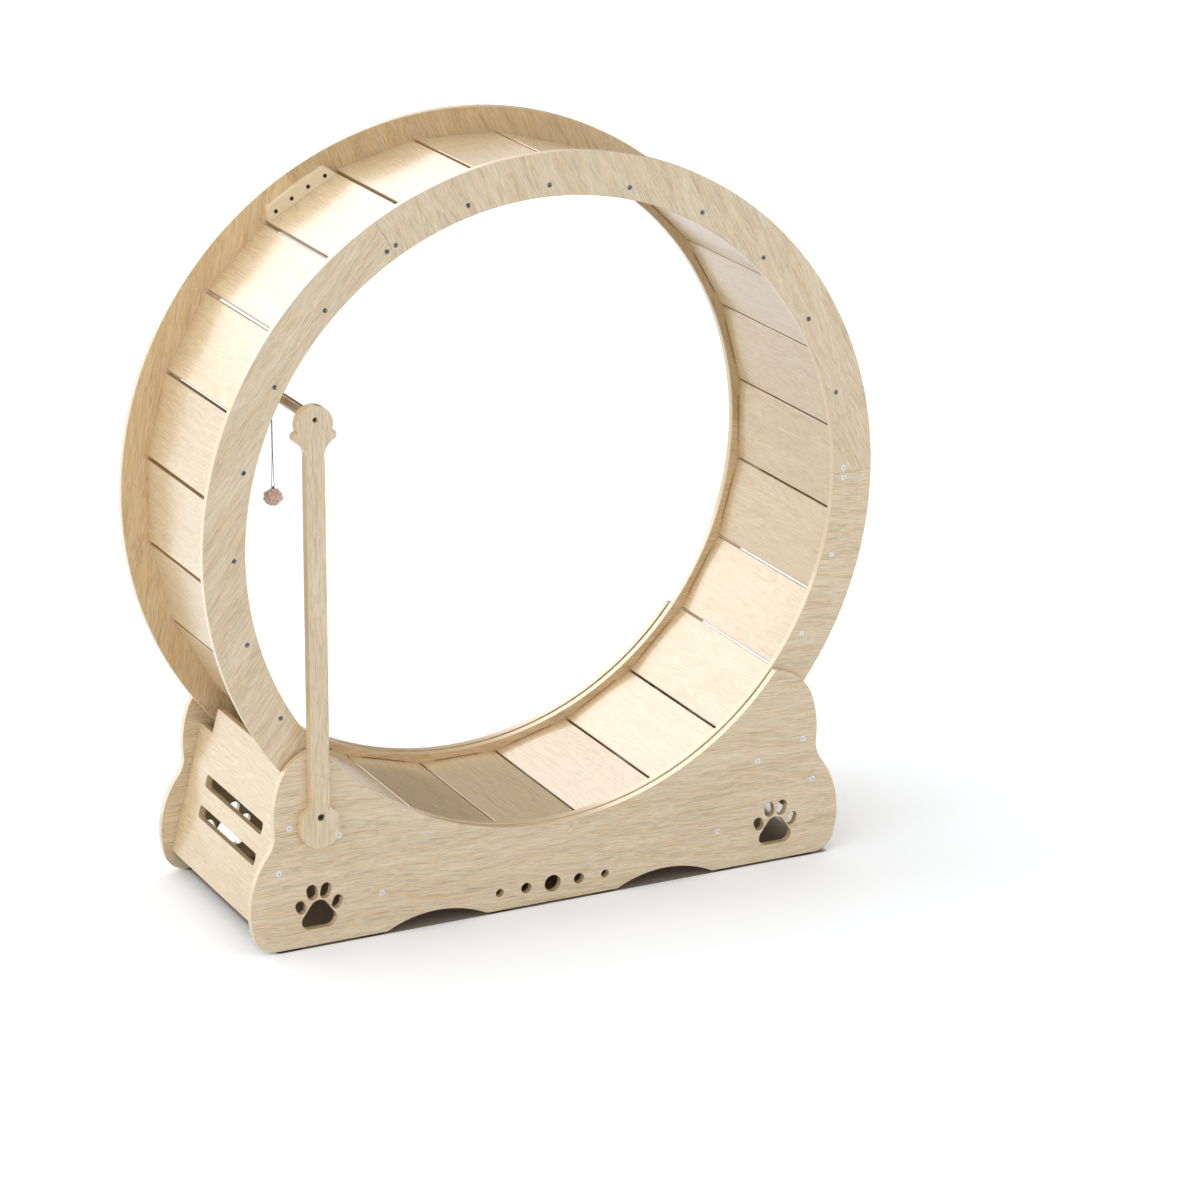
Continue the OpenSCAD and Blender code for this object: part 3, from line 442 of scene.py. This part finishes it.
# The layers that a board is glued up from, from its front face to its back one
ply_edge = [(0.04, "d8bc8e"), (0.12, "e3cda4"), (0.32, "dec699"), (0.38, "d2b482"),
            (0.44, "e3cda4"), (0.62, "dec699"), (0.68, "d2b482"), (0.76, "e5d0aa"),
            (1.0, "dabf92")]
wheel_centre = (0.0, 0.009, 0.614335)
board_t = 0.012
ring_boards = (
    ("front", 1, -0.161, 116, warm_oak, cool_oak),
    ("front", 2, -0.161, 52, warm_oak, cool_oak),
    ("front", 3, -0.161, -4, warm_oak, cool_oak),
    # The back ring's boards take the tones with painted shade
    ("back", 1, 0.167, 116, warm_top_shade, cool_top_shade),
    ("back", 2, 0.167, 80, warm_back_shade, cool_back_shade),
    ("back", 3, 0.167, -4, warm_back_shade, cool_back_shade),
)
for side, number, start_y, grain_angle, warm, cool in ring_boards:
    wood = oak_veneer(f"oak_veneer_{side}_ring_{number}",
                      (0, -math.radians(grain_angle), 0), wheel_centre, warm, cool)
    show_plies(wood, (0, 1, 0), start_y, board_t, ply_edge)
    dress(nodes[f"{side}_ring_segment_{number}"], wood)


# The slats are boards of the same oak-faced plywood, laid side by side as the running
# track, with their tenons in the rings. Their grain runs across the track and their faces
# are sanded very smooth. Their long edges are sawn and left bare, and are painted a darker
# tan as painted shade, so that the narrow gaps between the slats look dark.
slat_warm = [(0.3, "caac7c"), (0.42, "d2b88a"), (0.52, "d8bf94"), (0.62, "dcc69e"),
             (0.75, "e0cda9")]
slat_cool = [(0.3, "c3aa7f"), (0.42, "cdb58b"), (0.52, "d4bd96"), (0.62, "d8c49e"),
             (0.75, "dccbab")]
# Edge plies of the slats, darkened as painted shade for the gaps
shaded_slat_edge = [(0.0, "b3905f"), (0.4, "a78457"), (0.6, "ae8b5b"), (1.0, "b69463")]
across_track = (0, 0, math.radians(90))
slat_count, slat_r = 24, 0.5015
for number in range(1, slat_count + 1):
    slat_angle = math.tau * (number - 1) / slat_count
    out = (math.cos(slat_angle), 0, math.sin(slat_angle))
    # Each slat takes its grain from another place, so that no two are alike
    grain_start = (0.13 * number, 0.02 * number, wheel_centre[2])
    wood = oak_veneer(f"oak_slat_{number:02d}", across_track, grain_start, slat_warm,
                      slat_cool, figure=0.085, length=0.05, width=0.003, lines=26.0,
                      pores=0.97)
    slat_middle = Vector(out).dot(Vector(wheel_centre)) + slat_r
    show_plies(wood, out, slat_middle - board_t / 2, board_t, shaded_slat_edge)
    dress(nodes[f"slat_{number:02d}"], wood)


# Splice plates are short curved boards of a paler plywood. One lies behind each seam of
# a ring, and dark screws through it pull the ends of the two boards together.
plate_warm = [(0.3, "eedab6"), (0.7, "fbeccd")]
plate_cool = [(0.3, "e9d8b8"), (0.7, "f7e9cd")]
plate_wood = oak_veneer("oak_splice_plates", (0, math.radians(-30), 0), wheel_centre,
                        plate_warm, plate_cool)
for side in ("front", "back"):
    dress(nodes[f"{side}_splice_plates"], plate_wood)


# Countersunk steel screws, cold-headed and then plated, and driven flush with the wood:
# bright zinc in the base, zinc with a painted dark shade through the rings into the slats'
# ends, and black in the splice plates and the toy's post.
def metal(name, tones, roughness):
    """Steel with a little cloudiness in its plating or polish."""
    material, tree, shader = new_material(name)
    spot = add(tree, "ShaderNodeTexCoord").outputs["Object"]
    cloud = add(tree, "ShaderNodeTexNoise", {"Vector": spot, "Scale": 700, "Detail": 2})
    tone = fill_ramp(add(tree, "ShaderNodeValToRGB", {"Fac": cloud.outputs["Fac"]}), tones)
    tree.links.new(tone, shader.inputs["Base Color"])
    matt = add(tree, "ShaderNodeMapRange", {"Value": cloud.outputs["Fac"],
               "To Min": roughness - 0.08, "To Max": roughness + 0.08})
    tree.links.new(matt.outputs[0], shader.inputs["Roughness"])
    shader.inputs["Metallic"].default_value = 1.0
    return material


# Zinc: a bright, bluish white plate; black zinc: a warm near-black with a soft gleam
zinc_tones = [(0.3, "c2c4c6"), (0.7, "f2f3f4")]
zinc = metal("zinc_plated_steel", zinc_tones, 0.3)
dark_zinc = metal("black_zinc_steel", [(0.3, "3b3935"), (0.7, "57534c")], 0.4)
# Ring screws: zinc painted dark grey as painted shade, apart from the bright zinc screws of
# the lower right board, which lies right of x = 100 mm and below z = 640 mm
shaded_zinc = metal("zinc_steel_painted_shade", zinc_tones, 0.35)
tree = shaded_zinc.node_tree
shader = tree.nodes["Principled BSDF"]
bright_tone = shader.inputs["Base Color"].links[0].from_socket
spot = tree.nodes["Texture Coordinate"].outputs["Object"]
place = add(tree, "ShaderNodeSeparateXYZ", {"Vector": spot})
rightward = add(tree, "ShaderNodeMath", {0: place.outputs["X"], 1: 0.1},
                operation="GREATER_THAN")
below = add(tree, "ShaderNodeMath", {0: place.outputs["Z"], 1: 0.64}, operation="LESS_THAN")
unshaded_board = add(tree, "ShaderNodeMath", {0: rightward.outputs[0], 1: below.outputs[0]},
            operation="MULTIPLY")
shade_mottle = add(tree, "ShaderNodeTexNoise", {"Vector": spot, "Scale": 260, "Detail": 1})
shade_tone = fill_ramp(add(tree, "ShaderNodeValToRGB", {"Fac": shade_mottle.outputs["Fac"]}),
                      [(0.35, "45484a"), (0.65, "8c9093")])
plating = add(tree, "ShaderNodeMix", {"Factor": unshaded_board.outputs[0], "A": shade_tone,
              "B": bright_tone}, data_type="RGBA")
tree.links.new(plating.outputs[2], shader.inputs["Base Color"])
dress(nodes["slat_screws"], shaded_zinc)
dress(nodes["base_screws"], zinc)
dress(nodes["splice_screws"], dark_zinc)
dress(nodes["post_fasteners"], dark_zinc)


# The base: two side panels and two leaning end panels of the same plywood, cut on a
# router and screwed together. Their edges are sanded round by about 1 mm: on the side
# panels the outer ones alone, and there the two tips of the cradle by 4 mm.
edge_r, tip_r, hole_reach, cradle_z = 0.001, 0.004, 0.007, 0.24


def eased(name, body, thick_axis, keep_off=(), outward=None):
    """A copy of a board from the frame, with the edges between its faces and its outline
    rounded. Edges that lie within hole_reach of a place in keep_off are screw holes, left
    sharp. With outward, only that face is eased, and the tips above cradle_z are rounded
    too."""
    board = nodes[name].copy()
    board.data = nodes[name].data.copy()
    board.name = name + "_eased"
    bpy.context.collection.objects.link(board)
    board.parent = None
    only(board)
    bpy.ops.object.mode_set(mode="EDIT")
    bpy.ops.mesh.select_all(action="SELECT")
    bpy.ops.mesh.remove_doubles(threshold=0.00001)
    bpy.ops.mesh.dissolve_limited(angle_limit=math.radians(0.3))
    bpy.ops.mesh.select_all(action="DESELECT")
    bpy.ops.mesh.select_mode(type="EDGE")
    axis = Vector(thick_axis)
    if outward:
        shape = bmesh.from_edit_mesh(board.data)
        for line in shape.edges:
            along = (line.verts[0].co - line.verts[1].co).normalized()
            high = min(v.co.z for v in line.verts) > cradle_z
            if high and abs(along.dot(axis)) > 0.99 and line.calc_face_angle(0) > 1.0:
                line.select_set(True)
        bmesh.update_edit_mesh(board.data)
        bpy.ops.mesh.bevel(offset=tip_r, segments=5, affect="EDGES")
        bpy.ops.mesh.select_all(action="DESELECT")
    shape = bmesh.from_edit_mesh(board.data)
    for line in shape.edges:
        sides = [f.normal for f in line.link_faces]
        if len(sides) != 2:
            continue
        wall, flat = sorted(abs(n.dot(axis)) for n in sides)
        if outward and max(n.dot(Vector(outward)) for n in sides) < 0.99:
            continue
        middle = (line.verts[0].co + line.verts[1].co) / 2
        away = [middle - Vector(hole) for hole in keep_off]
        near = any((v - axis * v.dot(axis)).length < hole_reach for v in away)
        if flat > 0.99 and wall < 0.3 and not near:
            line.select_set(True)
    bmesh.update_edit_mesh(board.data)
    bpy.ops.mesh.bevel(offset=edge_r, segments=3, affect="EDGES", clamp_overlap=False)
    bpy.ops.object.mode_set(mode="OBJECT")
    bpy.ops.object.shade_smooth_by_angle(angle=math.radians(35))
    even = board.modifiers.new("even_faces", "WEIGHTED_NORMAL")
    even.keep_sharp = True
    bpy.ops.object.modifier_apply(modifier=even.name)
    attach(board, body)
    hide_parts(name)
    return board


# Screws go into the end panels (two), a cross rod and a roller shaft at each end
panel_screws = [(way * x, 0, z) for way in (-1, 1) for x, z in
                ((0.449, 0.1272), (0.4309, 0.1962), (0.284, 0.0673), (0.352, 0.172))]
for side, start_y in (("front", -0.178), ("back", 0.184)):
    wood = oak_veneer(f"oak_veneer_{side}_panel", (0, math.radians(1.5), 0),
                      (0.0, start_y, 0.1), warm_oak, cool_oak)
    show_plies(wood, (0, 1, 0), start_y, board_t, ply_edge)
    panel = eased(f"{side}_side_panel", "base", (0, 1, 0),
                  keep_off=panel_screws, outward=(0, math.copysign(1, start_y), 0))
    dress(panel, wood)
lean = math.radians(14.7)
for side, way in (("left", -1), ("right", 1)):
    normal = (way * math.cos(lean), 0, math.sin(lean))
    panel_middle = Vector((way * 0.449, 0.009, 0.1272))
    wood = oak_veneer(f"oak_veneer_{side}_end", across_track, tuple(panel_middle),
                      slat_warm, slat_cool, length=0.05, width=0.003, lines=26.0,
                      pores=0.96)
    show_plies(wood, normal, panel_middle.dot(Vector(normal)) - board_t / 2, board_t,
               ply_edge)
    dress(eased(f"{side}_end_panel", "base", normal), wood)


# Inside the base, two turned wooden rods hold the side panels apart. The wheel stands on
# four moulded nylon rollers, whose ball bearings turn on two bright steel shafts with
# tubes as spacers. Rubber pads are glued under the panels.
rod_wood = oak_veneer("beech_rod", across_track, wheel_centre, slat_warm, slat_cool)
for name in ("left_cross_rod", "right_cross_rod"):
    dress(nodes[name], rod_wood)
steel = metal("bright_steel", [(0.3, "b4b6b8"), (0.7, "d5d7d9")], 0.25)
for name in ("left_roller_shaft", "right_roller_shaft", "roller_spacers"):
    dress(nodes[name], steel)


def moulded(name, tones, roughness):
    """Moulded plastic or rubber with a sparked grain, drawn 1 mm coarse where the real
    one has 0.1 mm."""
    material, tree, shader = new_material(name)
    spot = add(tree, "ShaderNodeTexCoord").outputs["Object"]
    spark = add(tree, "ShaderNodeTexNoise", {"Vector": spot, "Scale": 900, "Detail": 2})
    tone = fill_ramp(add(tree, "ShaderNodeValToRGB", {"Fac": spark.outputs["Fac"]}), tones)
    tree.links.new(tone, shader.inputs["Base Color"])
    grainy = add(tree, "ShaderNodeBump", {"Height": spark.outputs["Fac"], "Strength": 0.2,
                 "Distance": 0.0002})
    tree.links.new(grainy.outputs[0], shader.inputs["Normal"])
    shader.inputs["Roughness"].default_value = roughness
    return material


# Nylon: a near-black with a soft shine; rubber: blacker and almost without shine
nylon = moulded("black_nylon", [(0.3, "24231f"), (0.7, "32302c")], 0.5)
rubber = moulded("black_rubber", [(0.3, "1c1a17"), (0.7, "282522")], 0.8)
for end in ("front_left", "front_right", "back_left", "back_right"):
    dress(nodes[f"{end}_roller"], nylon)
    dress(nodes[f"{end}_bearings"], steel)
dress(nodes["foot_pads"], rubber)


# The toy's post is an 18 mm board with its grain upright, bolted to the front panel. The
# dowel is a turned rod of a darker wood, held in the post's head by a sunk screw.
post_t, post_front_y, post_bolt_z = 0.018, -0.196, 0.1562
post_wood = oak_veneer("oak_veneer_post", (0, math.radians(-90), 0), (dowel_x, 0, 0.5),
                       warm_oak, cool_oak, figure=0.02)
show_plies(post_wood, (0, 1, 0), post_front_y, post_t, ply_edge)
post = eased("toy_post", "base", (0, 1, 0),
             keep_off=((dowel_x, 0, dowel_z), (dowel_x, 0, post_bolt_z)))
dress(post, post_wood)
dowel_tones = [(0.25, "a5865a"), (0.5, "c2a378"), (0.75, "d0b68c")]
dowel_wood = oak_veneer("oak_dowel", across_track, (dowel_x, 0, dowel_z), dowel_tones,
                        dowel_tones)
dress(nodes["toy_dowel"], dowel_wood)


# The studio: a wide white floor under a white sky that is brighter at the left and low
# down, as in a room with pale walls, and a large soft lamp at the upper left. A lamp and
# two cards behind the wheel are seen by the varnish alone, and give it its gloss.
bpy.ops.mesh.primitive_plane_add(size=60, location=(0, 0, 0))
floor = bpy.context.object
floor.name = "studio_floor"
paper, tree, shader = new_material("white_paper_floor")
tree.nodes.remove(shader)
spot = add(tree, "ShaderNodeTexCoord").outputs["Object"]
parts = add(tree, "ShaderNodeSeparateXYZ", {"Vector": spot})


def inside(tree, value, middle, half, soft):
    """1 where a value lies within half of the middle, 0 outside, with a soft border."""
    away = add(tree, "ShaderNodeMath", {0: value, 1: middle}, operation="SUBTRACT")
    size = add(tree, "ShaderNodeMath", {0: away.outputs[0]}, operation="ABSOLUTE")
    return add(tree, "ShaderNodeMapRange", {"Value": size.outputs[0], "From Min": half,
               "From Max": half - soft}, interpolation_type="SMOOTHSTEP").outputs[0]


# The floor under the base is painted dark brown as painted shade, so that little light
# comes up inside
shade_under_base = add(tree, "ShaderNodeMath", {
    0: inside(tree, parts.outputs["X"], 0.014, 0.471, 0.014),
    1: inside(tree, parts.outputs["Y"], 0.009, 0.189, 0.003)}, operation="MULTIPLY")
# Elsewhere it is pale grey to the light, and white to the camera and in reflections
light_path = add(tree, "ShaderNodeLightPath")
mirrored = add(tree, "ShaderNodeMath", {0: light_path.outputs["Is Camera Ray"],
               1: light_path.outputs["Is Glossy Ray"]}, operation="MAXIMUM")
tone = add(tree, "ShaderNodeMix", {"Factor": mirrored.outputs[0],
           "A": linear("d2d2d0"), "B": (1.1, 1.13, 1.16, 1)}, data_type="RGBA")
# Inside the base's footprint the floor takes the painted shade colour
floor_with_shade = add(tree, "ShaderNodeMix", {"Factor": shade_under_base.outputs[0], "A": tone.outputs[2],
             "B": linear("968c7e")}, data_type="RGBA")
sheet = add(tree, "ShaderNodeBsdfDiffuse", {"Color": floor_with_shade.outputs[2]})
tree.links.new(sheet.outputs[0], tree.nodes["Material Output"].inputs["Surface"])
dress(floor, paper)

# The sky lights the object unevenly, and is plain white to the camera and in reflections
world = bpy.data.worlds.new("studio_sky")
bpy.context.scene.world = world
world.use_nodes = True
sky = world.node_tree
sky.nodes.clear()
direction = add(sky, "ShaderNodeTexCoord").outputs["Generated"]
towards = add(sky, "ShaderNodeVectorMath", {0: direction, 1: (-0.81, 0.3, -0.5)},
              operation="DOT_PRODUCT")
lit = add(sky, "ShaderNodeMapRange", {"Value": towards.outputs["Value"], "From Min": -1.0,
          "To Min": 0.66, "To Max": 1.69})
sky_path = add(sky, "ShaderNodeLightPath")
plain = add(sky, "ShaderNodeMath", {0: sky_path.outputs["Is Camera Ray"],
            1: sky_path.outputs["Is Glossy Ray"]}, operation="MAXIMUM")
level_of_light = add(sky, "ShaderNodeMix", {"Factor": plain.outputs[0],
                     "A": lit.outputs[0], "B": 1.0})
background = add(sky, "ShaderNodeBackground", {"Color": (1, 1, 1, 1),
                 "Strength": level_of_light.outputs[0]})
add(sky, "ShaderNodeOutputWorld", {"Surface": background.outputs[0]})


def soft_lamp(name, source, strength, width):
    """A far lamp that fills width degrees of the sky in the direction of source."""
    data = bpy.data.lights.new(name, "SUN")
    data.energy, data.angle = strength, math.radians(width)
    lamp = bpy.data.objects.new(name, data)
    lamp.rotation_mode = "QUATERNION"
    lamp.rotation_quaternion = Vector(source).to_track_quat("Z", "Y")
    bpy.context.collection.objects.link(lamp)
    return lamp


soft_lamp("soft_key", (-0.78, 0.32, 0.53), 0.2, 50)
gloss_lamp = soft_lamp("gloss_panel", (-0.25, 0.83, 0.45), 1.8, 60)
gloss_lamp.visible_diffuse = False

# A dark card at the back right, which only the varnish mirrors
bpy.ops.mesh.primitive_plane_add(size=1, location=(1.5, 2.6, 0.85))
card = bpy.context.object
card.name = "dark_card"
card.scale = (2.1, 1.7, 1)
card.rotation_euler = (math.radians(90), 0, math.radians(-30))
card_paint, tree, shader = new_material("black_card")
shader.inputs["Base Color"].default_value = (0.01, 0.01, 0.01, 1)
shader.inputs["Roughness"].default_value = 1.0
dress(card, card_paint)
card.visible_camera = card.visible_diffuse = card.visible_shadow = False

# A bright card leans at the back left, and is mirrored in the same way
bpy.ops.mesh.primitive_plane_add(size=1, location=(-1.51, 1.2, 0.6))
reflector = bpy.context.object
reflector.name = "bright_card"
reflector.scale = (1.78, 1.7, 1)
reflector.rotation_euler = (math.radians(45), 0, 0)
glow_paint, tree, shader = new_material("bright_card")
shader.inputs["Base Color"].default_value = (0, 0, 0, 1)
shader.inputs["Emission Color"].default_value = (0.98, 0.99, 1, 1)
shader.inputs["Emission Strength"].default_value = 1.6
dress(reflector, glow_paint)
reflector.visible_camera = reflector.visible_diffuse = reflector.visible_shadow = False

bpy.context.scene.view_settings.view_transform = "Standard"
